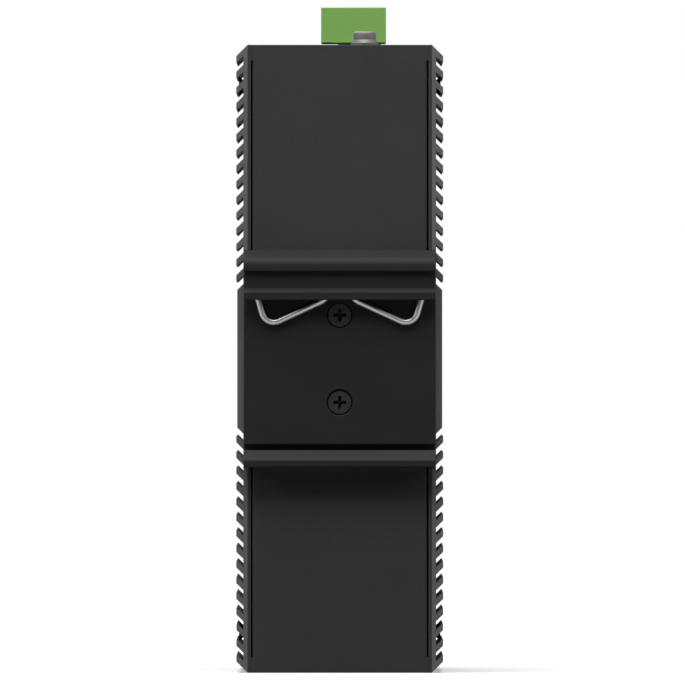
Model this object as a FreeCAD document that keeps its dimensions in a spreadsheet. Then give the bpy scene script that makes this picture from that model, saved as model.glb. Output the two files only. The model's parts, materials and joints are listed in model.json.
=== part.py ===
# DIN-rail Ethernet switch: a tall, narrow metal-cased network switch that clips on a 35 mm top-hat rail.
# Frame: X across the width (+X on the right when facing the ports), Y through the depth
# (ports at -Y, rail bracket at +Y), Z up from the flat bottom of the case. Millimetres.
import FreeCAD, Part
import math
import os
import Sketcher

# Driving dimensions, in millimetres, with counts as whole numbers. Each one becomes a cell of the sheet.
DIMENSIONS = {
    # Case: a folded front-and-sides shell, closed by a folded top-rear-bottom wrap.
    "case_height": 140.0,
    "case_width": 41.1,
    "case_depth": 99.0,
    "shell_sheet": 0.75,
    "wrap_sheet": 0.8,
    "bend_outside": 1.2,
    "bend_inside": 0.45,
    "fold_gap": 0.27,
    "corner_gap": 0.05,
    "corner_tab": 3.5,
    "rear_flange": 12.0,
    "edge_flange": 5.0,
    "flange_mitre": 1.0,
    "flange_round": 0.7,
    # Heat sinks: one finned extrusion on each side.
    "sink_base": 0.94,
    "sink_front_inset": 3.0,
    "fin_reach": 1.58,
    "fin_thickness": 1.62,
    "fin_pitch": 3.49,
    "fin_count": 15,
    "fin_tip_relief": 0.24,
    "sink_pad_rise": 1.36,
    # Screws that hold the heat sinks and the shell to the wrap's flanges.
    "side_screw_edge": 9.27,
    "side_screw_rear": 6.0,
    "side_screw_head": 4.8,
    "side_screw_sink": 0.58,
    "side_screw_room": 0.3,
    "side_screw_length": 5.0,
    # Screw sizes shared by the metric 3 screws.
    "screw_shank": 3.0,
    "screw_hole": 3.3,
    "thread_clearance": 0.06,
    "seat_gap": 0.03,
    "recess_span": 2.9,
    "recess_arm": 0.7,
    "recess_depth": 1.2,
    "nut_across": 5.5,
    "nut_height": 2.0,
    # Rail bracket: one extruded profile across the back.
    "bracket_width": 42.76,
    "bracket_head": 11.16,
    "bracket_plate": 2.6,
    "nose_reach": 6.8,
    "nose_round": 2.45,
    "nose_drop": 1.82,
    "nose_height": 2.87,
    "web_reach": 5.6,
    "lip_reach": 6.35,
    "lip_height": 1.75,
    "channel_outer": 4.35,
    "channel_head_outer": 5.1,
    "channel_head_height": 2.9,
    "channel_head_flare": 0.75,
    "channel_head_round": 1.1,
    "channel_roof": 2.76,
    "hook_reach": 6.4,
    "hook_foot": 1.65,
    "hook_tip_depth": 4.05,
    "hook_tip_height": 4.0,
    "hook_slot_depth": 1.2,
    "hook_slot_floor": 2.8,
    "hook_slot_top": 5.2,
    "hook_round": 0.5,
    "rail_height": 35.0,
    "rail_overlap": 0.82,
    "bracket_screw_spacing": 19.46,
    "bracket_screw_head": 5.2,
    "bracket_screw_sink": 0.3,
    "bracket_screw_length": 5.0,
    # Spring wire in the bracket's channel.
    "wire_diameter": 1.47,
    "wire_plane": 3.5,
    "wire_crown_half": 2.36,
    "wire_crown_gap": 1.1,
    "wire_sides": 8,
    "wire_knee_rise": 0.5,
    "wire_knee_round": 3.4,
    "wire_loop_half": 16.42,
    "wire_loop_drop": 6.02,
    "wire_loop_round": 2.7,
    "wire_tip_half": 20.12,
    "wire_tip_rise": 7.4,
    # Power terminal on the top.
    "pole_count": 6,
    "pole_pitch": 5.08,
    "terminal_end_wall": 0.6,
    "terminal_middle": 4.0,
    "plug_left": -10.36,
    "plug_right": 4.17,
    "plug_height": 8.0,
    "plug_lift": 0.66,
    "neck_left": -9.2,
    "neck_right": 0.3,
    "neck_length": 6.4,
    "neck_taper": 0.4,
    "entry_width": 3.6,
    "entry_depth": 6.4,
    "entry_offset": 2.0,
    "release_width": 2.8,
    "release_length": 3.4,
    "release_gap": 1.0,
    "clamp_wall": 0.4,
    "clamp_height": 4.2,
    "clamp_clearance": 0.1,
    "contact_slot": 1.6,
    "plug_floor": 0.8,
    "header_wall": 0.8,
    "header_clearance": 0.2,
    "header_floor": 2.4,
    "header_proud": 0.1,
    "header_slot_gap": 0.15,
    "pin_width": 1.0,
    "pin_tail": 2.6,
    "pin_rise": 6.0,
    # Ground screw on the top.
    "ground_x": -5.57,
    "ground_rear": 8.0,
    "ground_washer": 6.3,
    "ground_washer_height": 0.5,
    "lock_washer_top": 5.1,
    "lock_washer_foot": 6.0,
    "lock_washer_height": 0.75,
    "lock_washer_split": 0.7,
    "ground_head": 5.0,
    "ground_head_height": 1.8,
    "ground_head_shoulder": 1.0,
    "ground_head_crown": 3.2,
    "ground_screw_length": 6.0,
    # Boards.
    "board_sheet": 1.6,
    "board_offset": 5.2,
    "board_front_inset": 2.5,
    "board_rear_inset": 10.0,
    "board_bottom": 5.0,
    "board_top": 18.0,
    "guide_wall": 1.2,
    "guide_grip": 1.6,
    "guide_clearance": 0.05,
    "guide_inset": 8.0,
    "power_board_drop": 12.0,
    "power_board_margin": 7.0,
    # Network ports: modules of two jacks side by side, stacked up the front.
    "port_modules": 4,
    "port_pitch": 21.0,
    "port_first": 20.0,
    "module_width": 26.4,
    "module_height": 17.3,
    "module_depth": 24.0,
    "module_proud": 0.5,
    "module_shield": 0.3,
    "module_fit": 0.1,
    "window_gap": 0.25,
    "jack_offset": 6.45,
    "jack_opening": 11.9,
    "jack_depth": 14.5,
    "jack_inner": 1.7,
    "jack_outer": 8.6,
    "latch_wide": 6.2,
    "latch_wide_depth": 1.3,
    "latch_narrow": 3.4,
    "latch_narrow_depth": 1.1,
    "contact_count": 8,
    "contact_pitch": 1.02,
    "contact_wide": 0.45,
    "contact_thick": 0.3,
    "contact_rise": 1.5,
    "contact_start": 2.5,
    "contact_run": 9.0,
    "contact_lift": 0.15,
    "lamp_wide": 2.6,
    "lamp_tall": 1.5,
    "lamp_edge": 0.7,
    "lamp_depth": 8.0,
    "lamp_fit": 0.05,
    # Status lights above the ports.
    "status_count": 3,
    "status_pitch": 7.0,
    "status_shift": 0.975,
    "status_width": 2.0,
    "status_tall": 4.0,
    "status_fit": 0.1,
    "status_height": 3.0,
    "status_length": 7.0,
    "status_proud": 0.4,
    "led_length": 4.0,
    # Parts on the boards.
    "chip_side": 27.0,
    "chip_height": 2.0,
    "chip_back": 6.0,
    "spreader_side": 36.0,
    "thermal_pad": 1.0,
    "magnetics_gap": 1.5,
    "magnetics_depth": 12.0,
    "magnetics_height": 6.2,
    "magnetics_length": 15.0,
    "coil_side": 12.0,
    "coil_height": 7.0,
    "capacitor_side": 7.3,
    "capacitor_height": 4.3,
    "capacitor_pitch": 9.0,
    "capacitor_count": 3,
    "relay_width": 7.5,
    "relay_length": 15.0,
    "relay_height": 9.0,
    "link_width": 5.0,
    "link_length": 22.0,
    "link_overlap": 6.0,
    "part_margin": 3.0,
}

PAIR_COUNT = 2  # screws that stand two in a row
HEXAGON_SIDES = 6  # sides of a nut

doc = FreeCAD.newDocument("DinRailSwitch")
sheet = doc.addObject("Spreadsheet::Sheet", "Sizes")
for row, (alias, amount) in enumerate(DIMENSIONS.items(), start=1):
    sheet.set(f"A{row}", alias.replace("_", " "))
    sheet.set(f"B{row}", str(amount))
    sheet.setAlias(f"B{row}", alias)
doc.recompute()


class Size:
    """A size that knows its number and the sheet formula that gives it."""

    def __init__(self, amount, text):
        self.amount = amount
        self.text = text

    def __add__(self, other):
        return Size(self.amount + amount_of(other), f"({self.text} + {text_of(other)})")

    def __radd__(self, other):
        return Size(amount_of(other) + self.amount, f"({text_of(other)} + {self.text})")

    def __sub__(self, other):
        return Size(self.amount - amount_of(other), f"({self.text} - {text_of(other)})")

    def __rsub__(self, other):
        return Size(amount_of(other) - self.amount, f"({text_of(other)} - {self.text})")

    def __mul__(self, other):
        return Size(self.amount * amount_of(other), f"({self.text} * {text_of(other)})")

    __rmul__ = __mul__

    def __truediv__(self, other):
        return Size(self.amount / amount_of(other), f"({self.text} / {text_of(other)})")

    def __neg__(self):
        return Size(-self.amount, f"(0 - {self.text})")


def amount_of(value):
    """The number of a size or of a plain number."""
    return value.amount if isinstance(value, Size) else float(value)


def text_of(value):
    """The sheet formula of a size, or a plain number as text."""
    return value.text if isinstance(value, Size) else f"({float(value)})"


def size(alias):
    """The named cell of the sheet."""
    return Size(float(DIMENSIONS[alias]), f"Sizes.{alias}")


def bind(thing, **sizes):
    """Tie properties of an object to sizes of the sheet."""
    for name, value in sizes.items():
        thing.setExpression(name, text_of(value))


def place(thing, x=0, y=0, z=0):
    """Tie the position of an object to sizes of the sheet."""
    for axis, value in (("x", x), ("y", y), ("z", z)):
        thing.setExpression(f"Placement.Base.{axis}", text_of(value))


def new_body(label, several=False):
    """An empty body; several allows solids that don't touch, as in a set of like screws."""
    body = doc.addObject("PartDesign::Body", label)
    body.Label = label
    body.AllowCompound = several
    return body


def origin_part(body, role):
    """One of the planes or axes of the body's own origin."""
    return next(item for item in body.Origin.OriginFeatures if item.Role == role)


def flat_sketch(body, plane, level=0):
    """A sketch parallel to the body's XY, XZ or YZ plane; level is its place along the third axis."""
    sketch = body.newObject("Sketcher::SketchObject", f"{body.Label}_sketch")
    sketch.AttachmentSupport = [(origin_part(body, f"{plane}_Plane"), "")]
    sketch.MapMode = "FlatFace"
    lift = -level if plane == "XZ" else level
    sketch.setExpression("AttachmentOffset.Base.z", text_of(lift))
    return sketch


def pin_point(sketch, geometry, end, x, y):
    """Fix one point of the sketch at x, y from the sketch's origin."""
    for kind, value in (("DistanceX", x), ("DistanceY", y)):
        rule = Sketcher.Constraint(kind, -1, 1, geometry, end, amount_of(value))
        sketch.setExpression(f"Constraints[{sketch.addConstraint(rule)}]", text_of(value))


def vector(corner):
    """A corner of a sketch as a FreeCAD vector."""
    return FreeCAD.Vector(amount_of(corner[0]), amount_of(corner[1]), 0)


def draw(sketch, corners, rounds=None, closed=True):
    """Straight lines through the corners, each corner tied to the sheet; rounds gives corner radii."""
    spots = [vector(corner) for corner in corners]
    count = len(corners)
    lines = []
    for start in range(count if closed else count - 1):
        lines.append(sketch.addGeometry(Part.LineSegment(spots[start], spots[(start + 1) % count])))
    for index, line in enumerate(lines):
        if closed or index:
            sketch.addConstraint(Sketcher.Constraint("Coincident", lines[index - 1], 2, line, 1))
        pin_point(sketch, line, 1, *corners[index])
    if not closed:
        pin_point(sketch, lines[-1], 2, *corners[-1])
    for index, radius in (rounds or {}).items():
        here, before, after = spots[index], spots[index - 1], spots[(index + 1) % count]
        near_before = here + (before - here) / 4
        near_after = here + (after - here) / 4
        reach = amount_of(radius)
        sketch.fillet(lines[index - 1], lines[index], near_before, near_after, reach, True, True)
        arc = max(i for i, item in enumerate(sketch.Geometry) if isinstance(item, Part.ArcOfCircle))
        rule = sketch.addConstraint(Sketcher.Constraint("Radius", arc, reach))
        sketch.setExpression(f"Constraints[{rule}]", text_of(radius))


def ring(sketch, x, y, radius):
    """A circle with its centre and radius tied to the sheet."""
    circle = Part.Circle(vector((x, y)), FreeCAD.Vector(0, 0, 1), amount_of(radius))
    circle = sketch.addGeometry(circle)
    pin_point(sketch, circle, 3, x, y)
    rule = sketch.addConstraint(Sketcher.Constraint("Radius", circle, amount_of(radius)))
    sketch.setExpression(f"Constraints[{rule}]", text_of(radius))


def rectangle(x, y):
    """The four corners of a rectangle from its two ranges."""
    return [(x[0], y[0]), (x[1], y[0]), (x[1], y[1]), (x[0], y[1])]


def extrude(body, kind, plane, span, corners=None, rounds=None, rings=()):
    """Pad or pocket a flat outline over a span of the axis that the plane faces."""
    start, end = span
    sketch = flat_sketch(body, plane, end if plane == "XZ" else start)
    if corners:
        draw(sketch, corners, rounds)
    for circle in rings:
        ring(sketch, *circle)
    feature = body.newObject(f"PartDesign::{kind}", f"{body.Label}_{kind.lower()}")
    feature.Profile = sketch
    feature.Reversed = kind == "Pocket"
    bind(feature, Length=end - start)
    return feature


def pad(body, plane, span, corners=None, rounds=None, rings=()):
    """Material with a flat outline."""
    return extrude(body, "Pad", plane, span, corners, rounds, rings)


def pocket(body, plane, span, corners=None, rounds=None, rings=()):
    """A cut with a flat outline."""
    return extrude(body, "Pocket", plane, span, corners, rounds, rings)


def turn(body, kind, plane, level, axis, corners, rounds=None):
    """Revolve or groove an outline about an axis given by two points of the sketch."""
    sketch = flat_sketch(body, plane, level)
    line = sketch.addGeometry(Part.LineSegment(vector(axis[0]), vector(axis[1])), True)
    pin_point(sketch, line, 1, *axis[0])
    pin_point(sketch, line, 2, *axis[1])
    draw(sketch, corners, rounds)
    feature = body.newObject(f"PartDesign::{kind}", f"{body.Label}_{kind.lower()}")
    feature.Profile = sketch
    feature.ReferenceAxis = (sketch, ["Axis0"])
    feature.Angle = 360
    return feature


def set_row(pattern, body, axis, step, count):
    """Fill in one linear pattern along an axis of the body, backwards where the axis starts with a minus."""
    pattern.Direction = (origin_part(body, f"{axis.strip('-')}_Axis"), [""])
    pattern.Reversed = axis.startswith("-")
    bind(pattern, Length=step * (count - 1), Occurrences=count)


def repeat(body, features, *rows):
    """Repeat features along one or two rows, each an axis, a step and a count."""
    kind = "LinearPattern" if len(rows) == 1 else "MultiTransform"
    pattern = body.newObject(f"PartDesign::{kind}", f"{body.Label}_rows")
    pattern.Originals = features
    if len(rows) == 1:
        set_row(pattern, body, *rows[0])
    else:
        steps = []
        for row in rows:
            step = body.newObject("PartDesign::LinearPattern", f"{body.Label}_row")
            set_row(step, body, *row)
            steps.append(step)
        pattern.Transformations = steps
    body.Tip = pattern
    return pattern


def mirror(body, features, plane="YZ"):
    """Copy features to the other side of one of the body's planes."""
    pattern = body.newObject("PartDesign::Mirrored", f"{body.Label}_mirror")
    pattern.Originals = features
    pattern.MirrorPlane = (origin_part(body, f"{plane}_Plane"), [""])
    body.Tip = pattern
    return pattern


def round_edges(body, radius, chosen):
    """Round the edges of the body's last feature for which chosen(edge) holds."""
    doc.recompute()
    last = body.Tip
    names = [f"Edge{i}" for i, edge in enumerate(last.Shape.Edges, start=1) if chosen(edge)]
    feature = body.newObject("PartDesign::Fillet", f"{body.Label}_round")
    feature.Base = (last, names)
    bind(feature, Radius=radius)
    return feature


def block(label, x, y, z):
    """A plain box given by its three ranges."""
    item = doc.addObject("Part::Box", label)
    item.Label = label
    bind(item, Length=x[1] - x[0], Width=y[1] - y[0], Height=z[1] - z[0])
    place(item, x[0], y[0], z[0])
    return item


def around(middle, width):
    """The range of the given width about a middle."""
    return (middle - width / 2, middle + width / 2)


# Places that several pieces share.
half_case = size("case_width") / 2
case_top = size("case_height")
middle_z = case_top / 2
rear = (size("case_depth") + size("module_proud") - size("nose_reach")) / 2
front = rear - size("case_depth")
shell_inside = half_case - size("shell_sheet")
wrap_half = shell_inside - size("fold_gap")
flange_inside = wrap_half - size("wrap_sheet")
wrap_front = front + size("shell_sheet") + size("corner_gap")
screw_y = rear - size("side_screw_rear")
screw_z = (size("side_screw_edge"), case_top - size("side_screw_edge"))
screw_head_x = half_case + size("sink_base") + size("fin_reach") - size("side_screw_sink")
board_x = (size("board_offset") - shell_inside, size("board_offset") + size("board_sheet") - shell_inside)
board_y = (front + size("board_front_inset"), rear - size("board_rear_inset"))
board_z = (size("board_bottom"), case_top - size("board_top"))
module_x = (board_x[1], board_x[1] + size("module_width"))
module_middle_x = board_x[1] + size("module_width") / 2
module_front = front - size("module_proud")
power_z = (case_top - size("power_board_drop") - size("board_sheet"), case_top - size("power_board_drop"))
terminal_length = size("pole_pitch") * size("pole_count") + size("terminal_end_wall") * 2
terminal_y = around(size("terminal_middle"), terminal_length)
first_pole = size("terminal_middle") - size("pole_pitch") * (size("pole_count") - 1) / 2
pole_row = ("Y", size("pole_pitch"), size("pole_count"))
pin_x = (size("neck_left") + size("neck_right")) / 2
lip_above_foot = size("hook_tip_height") + size("rail_height") - size("rail_overlap") * 2
bracket_foot = middle_z - (lip_above_foot + size("bracket_head")) / 2
lip_bottom = bracket_foot + lip_above_foot
channel_top = lip_bottom + size("bracket_head") - size("channel_roof")
bracket_screw_z = around(middle_z, size("bracket_screw_spacing"))
status_row = ("Z", size("status_pitch"), size("status_count"))
status_x = around(board_x[1] + size("status_height"), size("status_width"))
port_top = size("port_first") + size("port_pitch") * (size("port_modules") - 1) + size("module_height") / 2
status_middle = (port_top + power_z[0]) / 2 + size("status_shift")
first_status = status_middle - size("status_pitch") * (size("status_count") - 1) / 2
status_z = around(first_status, size("status_tall"))


def front_chassis():
    """Front panel and both side walls, folded from one sheet, with windows for the ports and lights."""
    body = new_body("front_chassis")
    inner_front = front + size("shell_sheet")
    corners = [(-half_case, rear), (-half_case, front), (half_case, front), (half_case, rear)]
    corners += [(shell_inside, rear), (shell_inside, inner_front)]
    corners += [(-shell_inside, inner_front), (-shell_inside, rear)]
    outside, inside = size("bend_outside"), size("bend_inside")
    rounds = {1: outside, 2: outside, 5: inside, 6: inside}
    pad(body, "XY", (0, case_top), corners, rounds)
    gap = size("window_gap")
    wide = (module_x[0] - gap, module_x[1] + gap)
    tall = around(size("port_first"), size("module_height") + gap * 2)
    window = pocket(body, "XZ", (front, inner_front), rectangle(wide, tall))
    repeat(body, [window], ("Z", size("port_pitch"), size("port_modules")))
    fit = size("status_fit")
    hole = rectangle((status_x[0] - fit, status_x[1] + fit), (status_z[0] - fit, status_z[1] + fit))
    repeat(body, [pocket(body, "XZ", (front, inner_front), hole)], status_row)
    hole = size("screw_hole") / 2
    for wall in ((-half_case, -shell_inside), (shell_inside, half_case)):
        pocket(body, "YZ", wall, rings=[(screw_y, z, hole) for z in screw_z])
    return body


def rear_wrap():
    """Top, rear and bottom folded from one sheet, with side flanges, and nuts pressed in for the screws."""
    body = new_body("rear_wrap")
    sheet_in = size("wrap_sheet")
    wide = shell_inside - size("corner_gap")
    corners = [(wrap_front, 0), (rear, 0), (rear, case_top), (wrap_front, case_top)]
    corners += [(wrap_front, case_top - sheet_in), (rear - sheet_in, case_top - sheet_in)]
    corners += [(rear - sheet_in, sheet_in), (wrap_front, sheet_in)]
    outside, inside = size("bend_outside"), size("bend_inside")
    pad(body, "YZ", (-wide, wide), corners, {1: outside, 2: outside, 5: inside, 6: inside})
    tab = size("corner_tab")
    flange_end = rear - size("rear_flange") - size("flange_mitre")
    sides = []
    strip = rectangle((wrap_half, wide), (rear - sheet_in, rear))
    sides.append(pocket(body, "XY", (tab, case_top - tab), strip))
    for low, high in ((0, sheet_in), (case_top - sheet_in, case_top)):
        strip = rectangle((wrap_half, wide), (low, high))
        sides.append(pocket(body, "XZ", (wrap_front, flange_end), strip))
    leaf = (flange_inside, wrap_half)
    flange = rectangle(leaf, (rear - size("rear_flange"), rear))
    sides.append(pad(body, "XY", (tab, case_top - tab), flange))
    for low, high in ((0, size("edge_flange")), (case_top - size("edge_flange"), case_top)):
        sides.append(pad(body, "XZ", (wrap_front, flange_end), rectangle(leaf, (low, high))))
    mirror(body, sides)
    x_out, y_out = amount_of(wrap_half), amount_of(rear)
    z_out = (0.0, amount_of(case_top))

    def on_fold(edge):
        """Long outer edges where a flange folds from the rear, top or bottom."""
        ends = [vertex.Point for vertex in edge.Vertexes]
        close = 0.001
        if len(ends) != 2 or any(abs(abs(end.x) - x_out) > close for end in ends):
            return False
        if all(abs(end.y - y_out) < close for end in ends):
            return edge.Length > y_out
        return any(all(abs(end.z - level) < close for end in ends) for level in z_out)

    round_edges(body, size("flange_round"), on_fold)
    gap = size("header_slot_gap")
    slot_x = (header_x()[0] - gap, header_x()[1] + gap)
    slot_y = (header_y()[0] - gap, header_y()[1] + gap)
    pocket(body, "XY", (case_top - sheet_in, case_top), rectangle(slot_x, slot_y))
    tapped, across, tall = size("screw_shank") / 2 + size("thread_clearance"), size("nut_across"), size("nut_height")
    ground = (size("ground_x"), ground_y())
    nut_foot = case_top - sheet_in - tall
    outline = [(ground[0] + x, ground[1] + y) for x, y in polygon(across, HEXAGON_SIDES)]
    pad(body, "XY", (nut_foot, case_top - sheet_in), outline)
    pocket(body, "XY", (nut_foot, case_top), rings=[(*ground, tapped)])
    outline = [(x, bracket_screw_z[0] + z) for x, z in polygon(across, HEXAGON_SIDES)]
    nut = pad(body, "XZ", (rear - sheet_in - tall, rear - sheet_in), outline)
    bore = pocket(body, "XZ", (rear - sheet_in - tall, rear), rings=[(0, bracket_screw_z[0], tapped)])
    repeat(body, [nut, bore], ("Z", size("bracket_screw_spacing"), PAIR_COUNT))
    hole = tapped
    for wall in ((-wrap_half, -flange_inside), (flange_inside, wrap_half)):
        pocket(body, "YZ", wall, rings=[(screw_y, z, hole) for z in screw_z])
    return body


def heat_sink(label, side):
    """Finned side extrusion: fins slope to the middle from both ends, with a flat pad between them."""
    body = new_body(label)
    span = (front + size("sink_front_inset"), rear)
    base, reach, thick = size("sink_base"), size("fin_reach"), size("fin_thickness")
    tip = size("fin_tip_relief")
    x_inner, x_root, x_tip = half_case, half_case + base, half_case + base + reach
    wall = [(x_inner, 0), (x_root, base), (x_root, case_top - base), (x_inner, case_top)]
    pad(body, "XZ", span, [(x * side, z) for x, z in wall])
    count = size("fin_count")
    pad_edge = base + size("fin_pitch") * count
    rise = size("sink_pad_rise")
    boss = [(x_root, pad_edge), (x_root + rise, pad_edge + rise)]
    boss += [(x_root + rise, case_top - pad_edge - rise), (x_root, case_top - pad_edge)]
    pad(body, "XZ", span, [(x * side, z) for x, z in boss])
    fin = [(x_root, base), (x_tip, base + reach), (x_tip, base + reach + thick - tip)]
    fin += [(x_tip - tip / 2, base + reach + thick - tip / 2)]
    fin.append((x_root, base + thick))
    for end in ("bottom", "top"):
        if end == "bottom":
            outline = [(x * side, z) for x, z in fin]
            row = ("Z", size("fin_pitch"), count)
        else:
            outline = [(x * side, case_top - z) for x, z in fin]
            row = ("-Z", size("fin_pitch"), count)
        repeat(body, [pad(body, "XZ", span, outline)], row)
    head = size("side_screw_head") / 2
    room, hole = head + size("side_screw_room"), size("screw_hole") / 2
    seat = screw_head_x - (head - hole) - size("seat_gap")
    for radius, x_floor in ((room, seat), (hole, x_inner)):
        wall = (x_floor, x_tip) if side > 0 else (-x_tip, -x_floor)
        pocket(body, "YZ", wall, rings=[(screw_y, z, radius) for z in screw_z])
    return body


def cross_recess(body, level, span, arm, depth):
    """Cross-shaped driver recess, cut down from a level."""
    far, near = span / 2, arm / 2
    cross = [(far, near), (near, near), (near, far), (-near, far), (-near, near), (-far, near)]
    cross += [(-far, -near), (-near, -near), (-near, -far), (near, -far), (near, -near), (far, -near)]
    return pocket(body, "XY", (level - depth, level), cross)


def countersunk_screws(label, head, length, rotation, start, row):
    """A row of countersunk cross-recess screws, head face up in the body's own frame."""
    body = new_body(label, several=True)
    shank, top = size("screw_shank") / 2, head / 2
    outline = [(0, -length), (0, 0), (top, 0), (shank, shank - top), (shank, -length)]
    parts = [turn(body, "Revolution", "XZ", 0, outline[:2], outline)]
    parts.append(cross_recess(body, 0, size("recess_span"), size("recess_arm"), size("recess_depth")))
    repeat(body, parts, row)
    body.Placement.Rotation = rotation
    place(body, *start)
    return body


def side_screws(label, side):
    """The two screws of one heat sink."""
    rotation = FreeCAD.Rotation(FreeCAD.Vector(0, 1, 0), 90 * side)
    row = ("X", screw_z[1] - screw_z[0], PAIR_COUNT)
    start = (screw_head_x * side, screw_y, screw_z[1] if side > 0 else screw_z[0])
    head = size("side_screw_head")
    return countersunk_screws(label, head, size("side_screw_length"), rotation, start, row)


def polygon(across, sides):
    """Corners of a regular polygon of the given width across its flats, with a flat at the bottom."""
    radius = across / 2 / math.cos(math.pi / sides)
    turns = [math.pi * (2 * side + 1) / sides for side in range(sides)]
    return [(radius * math.sin(angle), radius * math.cos(angle)) for angle in turns]


def rail_bracket():
    """Extruded bracket: nose and lip over the rail's upper edge, sprung channel, and hook for the lower edge."""
    body = new_body("rail_bracket")
    foot, top = bracket_foot, lip_bottom + size("bracket_head")
    plate = rear + size("bracket_plate")
    tip = (rear + size("hook_tip_depth"), foot + size("hook_tip_height"))
    hook = rear + size("hook_reach")
    slot = (rear + size("hook_slot_depth"), foot + size("hook_slot_floor"))
    channel = rear + size("channel_outer")
    head = rear + size("channel_head_outer")
    head_neck = channel_top - size("channel_head_height")
    lip = rear + size("lip_reach")
    lip_top = lip_bottom + size("lip_height")
    web = rear + size("web_reach")
    nose = rear + size("nose_reach")
    nose_top = top - size("nose_drop")
    nose_foot = nose_top - size("nose_height")
    corners = [
        (rear, foot),
        (hook, foot),
        (hook, foot + size("hook_foot")),
        tip,
        (tip[0], slot[1]),
        slot,
        (slot[0], foot + size("hook_slot_top")),
        (plate, foot + size("hook_slot_top")),
        (plate, channel_top),
        (head, channel_top),
        (head, head_neck + size("channel_head_flare")),
        (channel, head_neck),
        (channel, lip_bottom),
        (lip, lip_bottom),
        (lip, lip_top),
        (web, lip_top + lip - web),
        (web, nose_foot),
        (nose, nose_foot),
        (nose, nose_top),
        (rear, top),
    ]
    soft, inner = size("hook_round"), size("channel_head_round")
    rounds = {1: soft, 8: inner, 9: inner, 18: size("nose_round")}
    pad(body, "YZ", around(0, size("bracket_width")), corners, rounds)
    mouth = size("bracket_screw_head") / 2 + size("bracket_screw_sink") + size("seat_gap")
    hole = size("screw_hole") / 2
    low = bracket_screw_z[0]
    cone = [(rear, low), (plate, low), (plate, low + mouth), (plate - mouth + hole, low + hole), (rear, low + hole)]
    cut = turn(body, "Groove", "YZ", 0, cone[:2], cone)
    repeat(body, [cut], ("Z", size("bracket_screw_spacing"), PAIR_COUNT))
    return body


def rail_spring_wire():
    """Spring wire bent to a W: its two loops hang into the rail slot and press down on the rail."""
    body = new_body("rail_spring_wire")
    plane = rear + size("wire_plane")
    crown = channel_top - size("wire_crown_gap")
    half_path = [
        (0, crown),
        (size("wire_crown_half"), crown),
        (size("wire_crown_half"), lip_bottom + size("wire_knee_rise")),
        (size("wire_loop_half"), lip_bottom - size("wire_loop_drop")),
        (size("wire_tip_half"), lip_bottom + size("wire_tip_rise")),
    ]
    rounds = {2: size("wire_knee_round"), 3: size("wire_loop_round")}
    spine = flat_sketch(body, "XZ", plane)
    draw(spine, half_path, rounds, closed=False)
    section = flat_sketch(body, "YZ")
    octagon = [(plane + y, crown + z) for y, z in polygon(size("wire_diameter"), DIMENSIONS["wire_sides"])]
    draw(section, octagon)
    pipe = body.newObject("PartDesign::AdditivePipe", "rail_spring_wire_pipe")
    pipe.Profile = section
    pipe.Spine = (spine, [])
    pipe.Transition = "Right corner"
    mirror(body, [pipe])
    return body


def header_x():
    """The header's outer range across the width."""
    rim = size("header_clearance") + size("header_wall")
    return (size("neck_left") - rim, size("neck_right") + rim)


def header_y():
    """The header's outer range along the row of poles."""
    rim = size("header_clearance") + size("header_wall")
    return (terminal_y[0] - rim, terminal_y[1] + rim)


def terminal_header():
    """Open-topped socket on the power board that shows through the slot in the top."""
    body = new_body("terminal_header")
    top = case_top + size("header_proud")
    pad(body, "XY", (power_z[1], top), rectangle(header_x(), header_y()))
    wall = size("header_wall")
    inner_x = (header_x()[0] + wall, header_x()[1] - wall)
    inner_y = (header_y()[0] + wall, header_y()[1] - wall)
    pocket(body, "XY", (power_z[1] + size("header_floor"), top), rectangle(inner_x, inner_y))
    hole = rectangle(around(pin_x, size("pin_width")), around(first_pole, size("pin_width")))
    passage = pocket(body, "XY", (power_z[1], power_z[1] + size("header_floor")), hole)
    repeat(body, [passage], pole_row)
    return body


def header_pins():
    """Square pins from below the power board up into the socket."""
    body = new_body("header_pins", several=True)
    span = (power_z[0] - size("pin_tail"), power_z[1] + size("header_floor") + size("pin_rise"))
    square = rectangle(around(pin_x, size("pin_width")), around(first_pole, size("pin_width")))
    repeat(body, [pad(body, "XY", span, square)], pole_row)
    return body


def plug_bottom():
    """Height of the plug's underside."""
    return case_top + size("plug_lift")


def plug_top():
    """Height of the plug's upper face."""
    return plug_bottom() + size("plug_height")


def terminal_plug():
    """Pluggable push-in terminal: neck in the socket, wire entries and release slots on top."""
    body = new_body("terminal_plug")
    left, right = size("plug_left"), size("plug_right")
    neck = plug_bottom() - size("neck_length")
    taper = size("neck_taper")
    corners = [(left, plug_bottom()), (left, plug_top()), (right, plug_top()), (right, plug_bottom())]
    corners += [(size("neck_right"), plug_bottom()), (size("neck_right") - taper, neck)]
    corners += [(size("neck_left"), neck), (size("neck_left"), plug_bottom())]
    pad(body, "XZ", terminal_y, corners)
    entry = pocket(body, "XY", (clamp_foot(), plug_top()), rectangle(*entry_ranges()))
    key = (entry_ranges()[0][1] + size("release_gap"), entry_ranges()[0][1] + size("release_gap") + size("release_length"))
    key = rectangle(key, around(first_pole, size("release_width")))
    key = pocket(body, "XY", (clamp_foot(), plug_top()), key)
    slot = rectangle(around(pin_x, size("contact_slot")), around(first_pole, size("contact_slot")))
    slot = pocket(body, "XY", (neck, plug_bottom() - size("plug_floor")), slot)
    repeat(body, [entry, key, slot], pole_row)
    return body


def clamp_foot():
    """Height of the floor of the wire entries."""
    return plug_top() - size("entry_depth")


def entry_ranges():
    """Ranges of the first wire entry across the width and along the row."""
    return (around(pin_x - size("entry_offset"), size("entry_width")), around(first_pole, size("entry_width")))


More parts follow.
